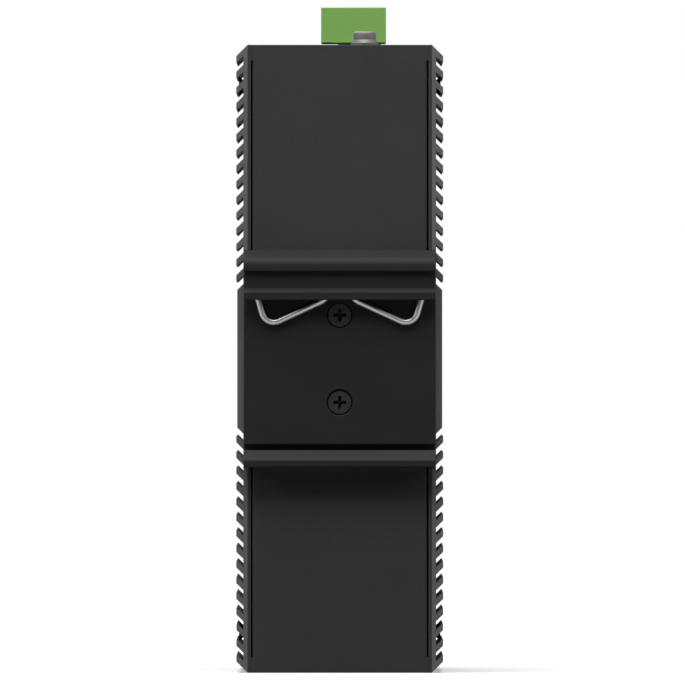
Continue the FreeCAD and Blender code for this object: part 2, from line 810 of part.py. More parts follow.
def plug_clamps():
    """Square metal cages that grip the wires, one at the bottom of each entry."""
    body = new_body("plug_clamps", several=True)
    span = (clamp_foot(), clamp_foot() + size("clamp_height"))
    fit, wall = size("clamp_clearance"), size("clamp_clearance") + size("clamp_wall")
    outer, inner = (rectangle(*((low + gap, high - gap) for low, high in entry_ranges())) for gap in (fit, wall))
    cage = pad(body, "XY", span, outer)
    inside = pocket(body, "XY", span, inner)
    repeat(body, [cage, inside], pole_row)
    return body


def ground_y():
    """Depth position of the ground screw."""
    return rear - size("ground_rear")


def ground_ring(label, foot, foot_across, top_across, height):
    """A washer round the ground screw, straight or coned outside."""
    body = new_body(label)
    bore = size("screw_hole") / 2
    top = foot + height
    x = size("ground_x")
    outline = [(x + bore, foot), (x + foot_across / 2, foot), (x + top_across / 2, top), (x + bore, top)]
    turn(body, "Revolution", "XZ", ground_y(), [(x, foot), (x, top)], outline)
    return body


def ground_flat_washer():
    """Flat washer on the top panel."""
    across = size("ground_washer")
    return ground_ring("ground_flat_washer", case_top, across, across, size("ground_washer_height"))


def ground_lock_washer():
    """Split spring washer under the screw's head."""
    foot = case_top + size("ground_washer_height")
    across = (size("lock_washer_foot"), size("lock_washer_top"))
    body = ground_ring("ground_lock_washer", foot, *across, size("lock_washer_height"))
    x, y = size("ground_x"), ground_y()
    split = rectangle((x, x + across[0]), (y, y + size("lock_washer_split")))
    pocket(body, "XY", (foot, foot + size("lock_washer_height")), split)
    return body


def ground_head_foot():
    """Height of the underside of the ground screw's head."""
    return case_top + size("ground_washer_height") + size("lock_washer_height")


def ground_screw():
    """Pan-head cross-recess ground screw through the top panel."""
    body = new_body("ground_screw")
    across, height, length = size("ground_head") / 2, size("ground_head_height"), size("ground_screw_length")
    crown, shoulder, shank = size("ground_head_crown") / 2, size("ground_head_shoulder"), size("screw_shank") / 2
    outline = [(0, -length), (0, height), (crown, height), (across, shoulder), (across, 0), (shank, 0)]
    outline.append((shank, -length))
    turn(body, "Revolution", "XZ", 0, outline[:2], outline)
    cross_recess(body, height, size("recess_span"), size("recess_arm"), size("recess_depth"))
    place(body, size("ground_x"), ground_y(), ground_head_foot())
    return body


def main_board():
    """Main circuit board, standing parallel to the side walls."""
    return block("main_board", board_x, board_y, board_z)


def guide(outline_plane, body, run, middle, foot, side):
    """A U-shaped guide standing on a foot, gripping a board whose mid-plane is at the given middle."""
    slot = size("board_sheet") / 2 + size("guide_clearance")
    wall = slot + size("guide_wall")
    tip, floor = foot + (size("guide_wall") + size("guide_grip")) * side, foot + size("guide_wall") * side
    outline = [(middle - wall, foot), (middle + wall, foot), (middle + wall, tip), (middle + slot, tip)]
    outline += [(middle + slot, floor), (middle - slot, floor), (middle - slot, tip), (middle - wall, tip)]
    if outline_plane == "XZ turned":
        outline = [(z, x) for x, z in outline]
    return pad(body, "XZ", run, outline)


def board_guides():
    """Two channels in the shell's left side that the main board slides into."""
    body = new_body("board_guides", several=True)
    inset = size("guide_inset")
    start, end = board_y[0] + inset, board_y[1] - inset
    before_link = power_board_y()[0] - size("part_margin")
    middle = (board_x[0] + board_x[1]) / 2
    for edge, side, run in ((board_z[0], 1, (start, end)), (board_z[1], -1, (start, before_link))):
        foot = edge - (size("guide_wall") + size("guide_clearance")) * side
        guide("XZ", body, run, middle, foot, side)
        wing = (edge, edge + size("guide_grip") * side) if side > 0 else (edge - size("guide_grip"), edge)
        slot = middle - size("board_sheet") / 2 - size("guide_clearance") - size("guide_wall")
        pad(body, "XZ", run, rectangle((-shell_inside, slot), wing))
    return body


def power_board_y():
    """Range of the power board through the depth."""
    margin = size("power_board_margin")
    return (terminal_y[0] - margin, terminal_y[1] + margin)


def power_board():
    """Small level board under the top that carries the terminal header."""
    body = new_body("power_board")
    edge = shell_inside - size("guide_wall") - size("guide_clearance")
    pad(body, "XY", power_z, rectangle((-edge, edge), power_board_y()))
    hole = rectangle(around(pin_x, size("pin_width")), around(first_pole, size("pin_width")))
    repeat(body, [pocket(body, "XY", power_z, hole)], pole_row)
    return body


def power_guides():
    """Two channels on the shell's sides that hold the power board's edges."""
    body = new_body("power_guides", several=True)
    middle = (power_z[0] + power_z[1]) / 2
    for side in (-1, 1):
        guide("XZ turned", body, power_board_y(), middle, shell_inside * side, -side)
    return body


def module_level(index):
    """Height of the middle of one port module."""
    return size("port_first") + size("port_pitch") * index


def port_shield(index):
    """Sheet-metal shell round one port module, open at the front."""
    body = new_body(f"port_shield_{index + 1}")
    skin = size("module_shield")
    tall = around(module_level(index), size("module_height"))
    end = module_front + size("module_depth")
    pad(body, "XZ", (module_front, end), rectangle(module_x, tall))
    inner_x = (module_x[0] + skin, module_x[1] - skin)
    inner_z = (tall[0] + skin, tall[1] - skin)
    pocket(body, "XZ", (module_front, end - skin), rectangle(inner_x, inner_z))
    return body


def jack_walls(side):
    """Near and far side of one jack's cavity across the width, and how the latch steps outward."""
    near = module_middle_x + size("jack_inner") * side
    far = module_middle_x + size("jack_outer") * side
    step = far + size("latch_wide_depth") * side
    last = step + size("latch_narrow_depth") * side
    return near, far, step, last


def port_housing(index):
    """Moulded body of one port module with two jack cavities, latches facing outwards."""
    body = new_body(f"port_housing_{index + 1}")
    skin = size("module_shield") + size("module_fit")
    level = module_level(index)
    x = (module_x[0] + skin, module_x[1] - skin)
    z = around(level, size("module_height") - skin * 2)
    end = module_front + size("module_depth") - skin
    pad(body, "XZ", (module_front, end), rectangle(x, z))
    for side in (-1, 1):
        near, far, step, last = jack_walls(side)
        mouth, wide, slim = (size(name) / 2 for name in ("jack_opening", "latch_wide", "latch_narrow"))
        outline = [(near, level - mouth), (far, level - mouth), (far, level - wide), (step, level - wide)]
        outline += [(step, level - slim), (last, level - slim), (last, level + slim), (step, level + slim)]
        outline += [(step, level + wide), (far, level + wide), (far, level + mouth), (near, level + mouth)]
        pocket(body, "XZ", (module_front, module_front + size("jack_depth")), outline)
    fit = size("lamp_fit")
    for lamp_x, lamp_z in lamp_places(level):
        hole = rectangle((lamp_x[0] - fit, lamp_x[1] + fit), (lamp_z[0] - fit, lamp_z[1] + fit))
        pocket(body, "XZ", (module_front, module_front + size("lamp_depth")), hole)
    return body


def lamp_places(level):
    """Ranges of the four light windows at the corners of one module's face."""
    skin = size("module_shield") + size("module_fit") + size("lamp_edge")
    places = []
    for side in (-1, 1):
        outer_x = module_middle_x + (size("module_width") / 2 - skin) * side
        inner_x = outer_x - size("lamp_tall") * side
        x = (inner_x, outer_x) if side > 0 else (outer_x, inner_x)
        for end in (-1, 1):
            outer_z = level + (size("module_height") / 2 - skin) * end
            inner_z = outer_z - size("lamp_wide") * end
            z = (inner_z, outer_z) if end > 0 else (outer_z, inner_z)
            places.append((x, z))
    return places


def port_lamps(index):
    """Clear light pipes at the corners of one module's face."""
    body = new_body(f"port_lamps_{index + 1}", several=True)
    span = (module_front, module_front + size("lamp_depth"))
    for lamp_x, lamp_z in lamp_places(module_level(index)):
        pad(body, "XZ", span, rectangle(lamp_x, lamp_z))
    return body


def port_contacts(index):
    """Eight sprung contacts in each of the module's two jacks, rising from the inner wall to the rear."""
    body = new_body(f"port_contacts_{index + 1}", several=True)
    first = module_level(index) - size("contact_pitch") * (size("contact_count") - 1) / 2
    parts = []
    start = module_front + size("contact_start")
    end = start + size("contact_run")
    thick = size("contact_thick")
    for side in (-1, 1):
        low = jack_walls(side)[0] + size("contact_lift") * side
        high = low + size("contact_rise") * side
        outline = [(low, start), (low + thick * side, start), (high + thick * side, end), (high, end)]
        parts.append(pad(body, "XY", around(first, size("contact_wide")), outline))
    repeat(body, parts, ("Z", size("contact_pitch"), size("contact_count")))
    return body


def status_light_pipes():
    """Rectangular light pipes through the front panel, above the ports."""
    body = new_body("status_light_pipes", several=True)
    start = front - size("status_proud")
    pipe = pad(body, "XZ", (start, start + size("status_length")), rectangle(status_x, status_z))
    repeat(body, [pipe], status_row)
    return body


def status_leds():
    """Side-looking lamps on the main board, behind the light pipes."""
    body = new_body("status_leds", several=True)
    start = front - size("status_proud") + size("status_length") + size("status_fit")
    lamp = rectangle((board_x[1], status_x[1]), status_z)
    lamp = pad(body, "XZ", (start, start + size("led_length")), lamp)
    repeat(body, [lamp], status_row)
    return body


def chip_stack():
    """Switch chip on the wall side of the main board, thermal pad and heat spreader to the left wall."""
    y = around(size("chip_back"), size("chip_side"))
    z = around(middle_z, size("chip_side"))
    chip_face = board_x[0] - size("chip_height")
    pad_face = chip_face - size("thermal_pad")
    chip = block("switch_chip", (chip_face, board_x[0]), y, z)
    soft = block("thermal_pad", (pad_face, chip_face), y, z)
    y = around(size("chip_back"), size("spreader_side"))
    z = around(middle_z, size("spreader_side"))
    spreader = block("heat_spreader", (-shell_inside, pad_face), y, z)
    return [chip, soft, spreader]


def line_transformers():
    """Isolating transformer packages, one behind each port module."""
    body = new_body("line_transformers", several=True)
    start = module_front + size("module_depth") + size("magnetics_gap")
    z = around(size("port_first"), size("magnetics_length"))
    x = (board_x[1], board_x[1] + size("magnetics_height"))
    package = pad(body, "XZ", (start, start + size("magnetics_depth")), rectangle(x, z))
    repeat(body, [package], ("Z", size("port_pitch"), size("port_modules")))
    return body


def power_parts():
    """Coil, capacitors and alarm relay of the supply, and the strip that joins the two boards."""
    coil_y = (board_y[1] - size("part_margin") - size("coil_side"), board_y[1] - size("part_margin"))
    coil = new_body("power_coil")
    outline = rectangle(coil_y, around(middle_z, size("coil_side")))
    pad(coil, "YZ", (board_x[1], board_x[1] + size("coil_height")), outline)
    cans = new_body("power_capacitors", several=True)
    can_y = (board_y[1] - size("part_margin") - size("capacitor_side"), board_y[1] - size("part_margin"))
    can_z = around(middle_z + size("coil_side") / 2 + size("capacitor_pitch"), size("capacitor_side"))
    can = pad(cans, "YZ", (board_x[1], board_x[1] + size("capacitor_height")), rectangle(can_y, can_z))
    repeat(cans, [can], ("Z", size("capacitor_pitch"), size("capacitor_count")))
    relay_x = (pin_x + size("part_margin"), pin_x + size("part_margin") + size("relay_width"))
    relay_y = (power_board_y()[1] - size("relay_length"), power_board_y()[1])
    relay = block("alarm_relay", relay_x, relay_y, (power_z[0] - size("relay_height"), power_z[0]))
    link_x = (board_x[1], board_x[1] + size("link_width"))
    link_y = (power_board_y()[0], power_board_y()[0] + size("link_length"))
    link = block("board_link", link_x, link_y, (board_z[1] - size("link_overlap"), power_z[0]))
    return [coil, cans, relay, link]


nodes = [front_chassis(), rear_wrap()]
nodes += [heat_sink("heat_sink_left", -1), heat_sink("heat_sink_right", 1)]
nodes += [side_screws("side_screws_left", -1), side_screws("side_screws_right", 1)]
nodes += [rail_bracket(), rail_spring_wire()]
turned_back = FreeCAD.Rotation(FreeCAD.Vector(1, 0, 0), -90)
bracket_start = (0, rear + size("bracket_plate") - size("bracket_screw_sink"), bracket_screw_z[1])
nodes.append(countersunk_screws("bracket_screws", size("bracket_screw_head"), size("bracket_screw_length"),
                                turned_back, bracket_start, ("Y", size("bracket_screw_spacing"), PAIR_COUNT)))
nodes += [terminal_header(), header_pins(), terminal_plug(), plug_clamps()]
nodes += [ground_screw(), ground_lock_washer(), ground_flat_washer()]
nodes += [main_board(), board_guides(), power_board(), power_guides()]
for module in range(int(DIMENSIONS["port_modules"])):
    nodes += [port_housing(module), port_shield(module), port_lamps(module), port_contacts(module)]
nodes += [status_light_pipes(), status_leds(), line_transformers()]
nodes += chip_stack()
nodes += power_parts()
doc.recompute()

broken = [item.Label for item in doc.Objects if {"Invalid", "Error"} & set(item.State)]
for feature in doc.Objects:
    if feature.TypeId in ("PartDesign::Pocket", "PartDesign::Groove"):
        if feature.Shape.Volume >= feature.BaseFeature.Shape.Volume:
            broken.append(f"{feature.Label} cuts nothing")
for node in nodes:
    if node.Shape.isNull() or not node.Shape.isValid() or not node.Shape.Solids:
        broken.append(f"{node.Label} has no valid shape")
if broken:
    raise SystemExit("Failed: " + ", ".join(broken))

os.makedirs("parts", exist_ok=True)
for node in nodes:
    node.Shape.exportStep(f"parts/{node.Label}.step")
    print(f"{node.Label}: {len(node.Shape.Solids)} solids, {node.Shape.Volume:.1f} mm3")
print(len(nodes), "nodes")
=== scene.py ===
# %% [markdown]
# # A rail-mounted network switch, seen from behind
#
# The CAD model is the frame: its pieces are already the right size and in the right place, in metres.
# This lesson gives them their finishes, eases the edges that catch the light, bends the spring wire
# smoothly, and sets up a plain studio. X runs across the width, +Y towards the rail bracket and Z up.

# %% Load the CAD model
import json
import math

import bmesh
import bpy
import numpy as np
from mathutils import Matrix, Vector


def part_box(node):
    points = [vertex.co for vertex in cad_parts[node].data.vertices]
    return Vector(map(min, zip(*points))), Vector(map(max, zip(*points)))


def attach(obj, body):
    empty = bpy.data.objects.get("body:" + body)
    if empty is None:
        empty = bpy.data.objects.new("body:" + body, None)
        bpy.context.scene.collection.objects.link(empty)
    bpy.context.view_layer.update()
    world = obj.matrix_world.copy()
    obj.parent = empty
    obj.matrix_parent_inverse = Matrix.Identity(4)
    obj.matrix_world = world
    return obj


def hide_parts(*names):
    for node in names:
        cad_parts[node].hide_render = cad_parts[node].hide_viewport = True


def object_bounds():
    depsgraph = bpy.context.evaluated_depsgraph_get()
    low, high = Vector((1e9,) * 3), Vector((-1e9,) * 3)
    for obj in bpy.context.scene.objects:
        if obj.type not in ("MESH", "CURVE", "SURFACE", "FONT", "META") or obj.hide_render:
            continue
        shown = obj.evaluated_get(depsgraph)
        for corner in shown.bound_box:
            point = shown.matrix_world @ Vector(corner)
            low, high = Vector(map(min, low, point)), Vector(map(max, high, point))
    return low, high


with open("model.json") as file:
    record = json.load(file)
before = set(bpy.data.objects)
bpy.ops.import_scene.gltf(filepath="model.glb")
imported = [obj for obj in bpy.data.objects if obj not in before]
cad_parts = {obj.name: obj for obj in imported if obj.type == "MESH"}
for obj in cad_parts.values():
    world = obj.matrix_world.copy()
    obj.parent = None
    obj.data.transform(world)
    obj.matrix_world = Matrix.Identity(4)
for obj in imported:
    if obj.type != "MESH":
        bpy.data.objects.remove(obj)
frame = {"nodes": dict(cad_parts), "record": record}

cad_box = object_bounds()
millimetre = 0.001
print("CAD box in mm:", [[round(v / millimetre, 2) for v in corner] for corner in cad_box])

# %% [markdown]
# ## The view
#
# The switch is looked at squarely from behind and from far away, so that its sides stay parallel. A very
# long lens does that and still lets the camera orbit the object for other views. The distance follows
# from the lens, the sensor and the width that the picture should take in at the rear face.

# %% Camera
picture_width = 152.7 * millimetre
lens, sensor = 1600.0, 36.0
aim_aside, aim_below = 0.62 * millimetre, 0.70 * millimetre
rear_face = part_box("rear_wrap")[1].y
case_middle = (cad_box[0] + cad_box[1]) / 2

camera = bpy.data.objects.new("camera", bpy.data.cameras.new("camera"))
bpy.context.scene.collection.objects.link(camera)
camera.data.lens, camera.data.sensor_width = lens, sensor
camera.data.clip_start, camera.data.clip_end = 0.5, 60.0
camera.location = (-aim_aside, rear_face + picture_width * lens / sensor, case_middle.z - aim_below)
camera.rotation_euler = (math.radians(90), 0, math.radians(180))
bpy.context.scene.camera = camera
print("camera stands", round(camera.location.y, 2), "m behind the middle")

# %% [markdown]
# ## Colour and nodes
#
# Paint and plastic colours are written as the hex values of a colour chart. A renderer works in linear
# light, so one function turns them. A second empties the node tree of a material or world, and a third
# adds a shader node with its settings and links, which keeps each finish short enough to read.


# %% Three small tools
def linear(chart_colour):
    """Hex sRGB to linear RGBA: below 0.04045 a share of 1/12.92, above it ((c + 0.055) / 1.055) ** 2.4."""
    part = np.array([int(chart_colour[i : i + 2], 16) for i in (1, 3, 5)]) / 255
    light = np.where(part <= 0.04045, part / 12.92, ((part + 0.055) / 1.055) ** 2.4)
    return (*(float(v) for v in light), 1.0)


def empty_tree(block):
    """Turn on the nodes of a material or world and give back its node tree with nothing in it."""
    block.use_nodes = True
    block.node_tree.nodes.clear()
    return block.node_tree


def add_node(tree, kind, inputs=None, **settings):
    """Add a node. inputs gives each socket, by name or number, a value or another node's output to link."""
    node = tree.nodes.new(kind)
    for name, value in settings.items():
        setattr(node, name, value)
    for name, value in (inputs or {}).items():
        if isinstance(value, bpy.types.NodeSocket):
            tree.links.new(value, node.inputs[name])
        else:
            node.inputs[name].default_value = value
    return node


print("chart #808080 is", round(linear("#808080")[0], 3), "in linear light")

# %% [markdown]
# ## One recipe for every finish
#
# A real surface is never one flat colour. Each finish has a grain: the leather-like skin of powder coat,
# the drawn lines of an extrusion, the spark-etched texture of a mould. The grain's size along X, Y and Z is
# given in millimetres; a long size along one axis draws it out into lines. The same grain lifts the
# surface by a few hundredths of a millimetre, varies the colour and varies the gloss. A second, much
# larger pattern gives the faint unevenness of handled parts. Everything is read in Object coordinates,
# so it stays on the part when it moves.

# %% The recipe
handled_mm = 14.0
fine_detail, broad_detail = 3.0, 4.0
# The sum of the two noises lies between about these values.
noise_low, noise_high = 0.6, 1.4


def finish(name, chart_colour, roughness, grain_mm, relief_mm, shade=0.06, gloss=0.08, **constants):
    """Principled finish whose colour and roughness follow a noise of the given grain. The noise is also the
    height of its bump."""
    material = bpy.data.materials.new(name)
    tree = empty_tree(material)
    place = add_node(tree, "ShaderNodeTexCoord").outputs["Object"]
    scale = [1 / (size * millimetre) for size in grain_mm]
    fine_place = add_node(tree, "ShaderNodeMapping", {"Vector": place, "Scale": scale}).outputs[0]
    fine_noise = {"Vector": fine_place, "Scale": 1.0, "Detail": fine_detail}
    fine = add_node(tree, "ShaderNodeTexNoise", fine_noise).outputs[0]
    broad_noise = {"Vector": place, "Scale": 1 / (handled_mm * millimetre), "Detail": broad_detail}
    broad = add_node(tree, "ShaderNodeTexNoise", broad_noise).outputs[0]
    both = add_node(tree, "ShaderNodeMath", {0: fine, 1: broad}, operation="ADD").outputs[0]

    span = {"Value": both, "From Min": noise_low, "From Max": noise_high}
    tone_range = {**span, "To Min": 1 - shade, "To Max": 1 + shade}
    tone = add_node(tree, "ShaderNodeMapRange", tone_range).outputs[0]
    colour = linear(chart_colour)
    tinted = add_node(tree, "ShaderNodeVectorMath", {0: colour[:3], 3: tone}, operation="SCALE").outputs[0]
    dull_range = {**span, "To Min": roughness - gloss, "To Max": roughness + gloss}
    dull = add_node(tree, "ShaderNodeMapRange", dull_range).outputs[0]
    relief = {"Height": fine, "Strength": 1.0, "Distance": relief_mm * millimetre}
    bump = add_node(tree, "ShaderNodeBump", relief).outputs[0]

    sockets = {"Base Color": tinted, "Roughness": dull, "Normal": bump, **constants}
    skin = add_node(tree, "ShaderNodeBsdfPrincipled", sockets).outputs[0]
    add_node(tree, "ShaderNodeOutputMaterial", {"Surface": skin})
    material.diffuse_color = colour
    print(f"{name}: grain {grain_mm} mm, relief {relief_mm} mm")
    return material


# %% [markdown]
# ## Black metalwork
#
# The case is folded from sheet steel and powder coated: a matt, slightly pebbled skin that scatters
# most of the light and shines very little. The heat sinks are aluminium pushed through a die, then
# anodised black; die lines run along their length, front to rear, and the finish is greyer than the paint.
# The bracket is extruded too, but across the back, so its lines run from side to side. Screws are
# blackened steel, a little oily, so they shine more than the paint.


# %% Black finishes
def shine(level):
    """How strongly a surface that is not metal shines: 0.5 is bare plastic, and matt pigment lowers it."""
    return {"Specular IOR Level": level}


pebbles, die_lines_in_depth, die_lines_across = (0.5, 0.5, 0.5), (0.4, 30.0, 0.4), (30.0, 0.35, 0.35)
finishes = {
    "case_black": finish(
        "powder_coated_steel", "#3a3a3b", 0.62, pebbles, 0.020, 0.10, 0.06, **shine(0.14)
    ),
    "sink_black": finish(
        "anodised_extruded_aluminium", "#646465", 0.50, die_lines_in_depth, 0.008, 0.07, **shine(0.3)
    ),
    "bracket_black": finish(
        "satin_anodised_aluminium", "#2c2c2d", 0.48, die_lines_across, 0.006, 0.10, **shine(0.07)
    ),
    "black_screws": finish(
        "black_oxide_steel", "#2c2c2d", 0.42, (0.3, 0.3, 0.3), 0.006, 0.10, **shine(0.2)
    ),
}

# %% [markdown]
# ## Bright metal
#
# The spring is hard-drawn wire, shiny along its length. The ground screw and its washers are dull zinc
# plate, slightly warm in tone. The jack shields are tin-plated sheet, the contacts are gold over nickel, and
# the heat spreader inside is milled aluminium. All are metals, so they keep the usual IOR.

# %% Metal finishes
metal = {"Metallic": 1.0}
finishes.update(
    {
        "spring_steel": finish("drawn_spring_wire", "#999794", 0.36, (0.5, 0.5, 0.5), 0.003, 0.08, **metal),
        "zinc_steel": finish("zinc_plated_steel", "#74726e", 0.64, (0.4, 0.4, 0.4), 0.006, 0.10, **metal),
        "shield_tin": finish("tin_plated_sheet", "#cfcdc6", 0.28, (2.0, 2.0, 0.4), 0.003, 0.06, **metal),
        "contact_gold": finish("gold_plated_bronze", "#d8b160", 0.22, (0.3, 2.0, 0.3), 0.002, 0.05, **metal),
        "bare_aluminium": finish("milled_aluminium", "#cccccf", 0.36, (0.3, 6.0, 0.3), 0.006, 0.06, **metal),
    }
)

# %% [markdown]
# ## Plastics, rubber and boards
#
# The terminal is green polyamide from a finely etched mould, so it is satin rather than glossy. The jacks are
# black polyester, the guides and the relay natural nylon, the lights clear acrylic. Boards carry a
# glossy green mask through which the glass cloth shows as a grain of about half a millimetre.

# %% Plastic and board finishes
clear = {"Transmission Weight": 0.55}
finishes.update(
    {
        "terminal_green": finish("moulded_green_polyamide", "#83b65c", 0.48, (0.35, 0.35, 0.35), 0.006, 0.05),
        "jack_black": finish("moulded_black_polyester", "#19191a", 0.40, (0.25, 0.25, 0.25), 0.005, 0.08),
        "light_pipe": finish("clear_acrylic", "#e3e6df", 0.16, (1.0, 1.0, 1.0), 0.002, 0.03, **clear),
        "board_green": finish("solder_mask_on_glass_cloth", "#1d5232", 0.32, (0.5, 0.5, 0.5), 0.010, 0.12),
        "guide_white": finish("natural_moulded_nylon", "#d6d4cb", 0.46, (0.4, 0.4, 0.4), 0.006, 0.04),
        "chip_black": finish("moulded_epoxy", "#232325", 0.50, (0.2, 0.2, 0.2), 0.008, 0.08),
        "pad_grey": finish("soft_silicone_pad", "#90979c", 0.60, (0.6, 0.6, 0.6), 0.010, 0.06),
        "ferrite": finish("pressed_ferrite", "#3b3b3e", 0.66, (0.3, 0.3, 0.3), 0.012, 0.10),
    }
)

# %% [markdown]
# ## Which piece has which finish
#
# The frame's record already says which slot each CAD piece takes its finish from, so the finishes are handed
# out from that list rather than named again for every piece.

# %% Hand out the finishes
slot_of = {part["node"]: part["material_slot"] for part in frame["record"]["subparts"]}
for node, cad_piece in frame["nodes"].items():
    cad_piece.data.materials.clear()
    cad_piece.data.materials.append(finishes[slot_of[node]])
print(len(slot_of), "pieces share", len(set(slot_of.values())), "finishes")

# %% [markdown]
# ## Solids to cut with
#
# Two pieces further on lose a little volume: the end of the terminal's neck and the driver's cross of the
# ground screw. Each cutter is a flat outline carried along a direction, and a Boolean takes it off.

# %% Carry an outline, and cut with it
join_within = 1e-6


def extrusion(name, outline, direction, length):
    """A closed solid: the outline, and the outline moved by length along the direction, with side faces."""
    near_end = np.array(outline, float)
    far_end = near_end + np.array(direction, float) * length
    count = len(outline)
    sides = [(i, (i + 1) % count, count + (i + 1) % count, count + i) for i in range(count)]
    ends = [tuple(reversed(range(count))), tuple(range(count, 2 * count))]
    mesh = bpy.data.meshes.new(name)
    mesh.from_pydata(np.concatenate([near_end, far_end]).tolist(), [], ends + sides)
    shell = bmesh.new()
    shell.from_mesh(mesh)
    bmesh.ops.recalc_face_normals(shell, faces=shell.faces)
    shell.to_mesh(mesh)
    shell.free()
    solid = bpy.data.objects.new(name, mesh)
    bpy.context.scene.collection.objects.link(solid)
    return solid


def cut_away(piece, cutter):
    """Take the cutter's volume off the piece for good, and clear the cutter away."""
    cut = piece.modifiers.new(cutter.name, "BOOLEAN")
    cut.operation, cut.object, cut.solver = "DIFFERENCE", cutter, "EXACT"
    bpy.context.view_layer.update()
    piece.data = bpy.data.meshes.new_from_object(piece.evaluated_get(bpy.context.evaluated_depsgraph_get()))
    piece.modifiers.clear()
    bpy.data.objects.remove(cutter)


print("points closer than", join_within / millimetre, "mm are joined")

# %% [markdown]
# ## The end of the terminal's neck
#
# The terminal is one green moulding: a body that overhangs the narrower neck, which plugs into the socket on
# the case. Light hardly reaches the neck under the overhang. Its end lies in one plane with the body's, so
# it has no points of its own to move, and a slice is cut off it instead.

# %% Cutter for the neck's end
plug_body, neck_inset = 8.0 * millimetre, 1.55 * millimetre
plug_low, plug_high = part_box("terminal_plug")
margin = 1.0 * millimetre
start_x, foot_z = plug_low.x - margin, plug_low.z - margin
inset_y, end_y = plug_high.y - neck_inset, plug_high.y + margin
underside_z = plug_high.z - plug_body
neck_end = [
    (start_x, inset_y, foot_z),
    (start_x, end_y, foot_z),
    (start_x, end_y, underside_z),
    (start_x, inset_y, underside_z),
]
neck_cutter = extrusion("neck_end", neck_end, (1, 0, 0), plug_high.x - plug_low.x + 2 * margin)
print("the neck's end goes back", round(neck_inset / millimetre, 2), "mm")

# %% [markdown]
# ## Small changes of form
#
# A sheet folded on a press brake has a tighter outer bend than its CAD model, a countersunk screw sits in
# its hole with a dark ring of clearance round it, and a driver's cross is deepest in the middle. Each
# change moves points of a copy, by a formula on all points at once.

# %% Fold, screw seats and crosses
fold_radius = 1.2 * millimetre
on_bend_within = 0.02
seat_radius = 2.86 * millimetre
off_head, off_case = 0.1 * millimetre, 0.2 * millimetre
cross_middle, cross_extra = 0.6 * millimetre, 1.0 * millimetre
floor_from, floor_to = 0.3 * millimetre, 2.5 * millimetre
screws_low, screws_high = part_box("bracket_screws")
screw_head = screws_high.x
screw_face = screws_high.y
screw_axes = (screws_low.z + screw_head, screws_high.z - screw_head)


def tighten_folds(points):
    """Press the wrap's two rear folds tight: a point on the outer bend moves out along its radius until it
    meets the flat sheet, which is 1 / max(share of Y, share of Z) times as far from the bend's axis."""
    low, high = points.min(axis=0), points.max(axis=0)
    axis_y = high[1] - fold_radius
    for axis_z, up in ((high[2] - fold_radius, 1), (low[2] + fold_radius, -1)):
        y, z = points[:, 1] - axis_y, (points[:, 2] - axis_z) * up
        away = np.hypot(y, z)
        on_bend = (y > 0) & (z > 0) & (abs(away - fold_radius) < on_bend_within * fold_radius)
        stretch = np.where(on_bend, fold_radius / np.maximum(np.maximum(y, z), join_within), 1.0)
        points[:, 1] += np.where(on_bend, y * (stretch - 1), 0)
        points[:, 2] += np.where(on_bend, z * (stretch - 1) * up, 0)
    return points


def open_screw_seats(points):
    """Leave a narrow gap round both countersunk heads: a point of the bracket's plate inside one of its two
    screw holes moves out along its radius by seat_radius / radius."""
    in_plate = (points[:, 1] < screw_face + off_head) & (points[:, 1] > rear_face + off_case)
    for axis_z in screw_axes:
        radius = np.hypot(points[:, 0], points[:, 2] - axis_z)
        in_hole = in_plate & (radius < seat_radius)
        stretch = np.where(in_hole, seat_radius / np.maximum(radius, join_within), 1.0)
        points[:, 0] *= stretch
        points[:, 2] = axis_z + (points[:, 2] - axis_z) * stretch
    return points


def deepen_crosses(points):
    """Slope the floor of both crosses in to the middle: points of the floor that lie within cross_middle of
    the screw's axis go cross_extra deeper."""
    on_floor = (points[:, 1] < screw_face - floor_from) & (points[:, 1] > screw_face - floor_to)
    for axis_z in screw_axes:
        radius = np.hypot(points[:, 0], points[:, 2] - axis_z)
        points[:, 1] -= np.where(on_floor & (radius < cross_middle), cross_extra, 0)
    return points


reshaped = {"rear_wrap": tighten_folds, "rail_bracket": open_screw_seats, "bracket_screws": deepen_crosses}
print("bracket screws stand at", [round(z / millimetre, 1) for z in screw_axes], "mm")

# %% [markdown]
# ## Eased edges
#
# Nothing made of metal or plastic has a knife edge: sheet has a small burr radius under its paint, a die
# rounds the lips of an extrusion and a mould rounds everything. Those edges are what draws a part's
# outline in light. A CAD mesh is loose triangles, so a copy is joined up first, its flat faces are made
# whole again, and a bevel of the real radius runs along each sharp edge. Large flat faces then keep their
# own direction, so that the bevel doesn't tip the light on them.

# %% Ease the edges of the pieces that show
sharp = math.radians(30)
flat = math.radians(0.2)
bevel_steps, large_faces_first = 2, 100


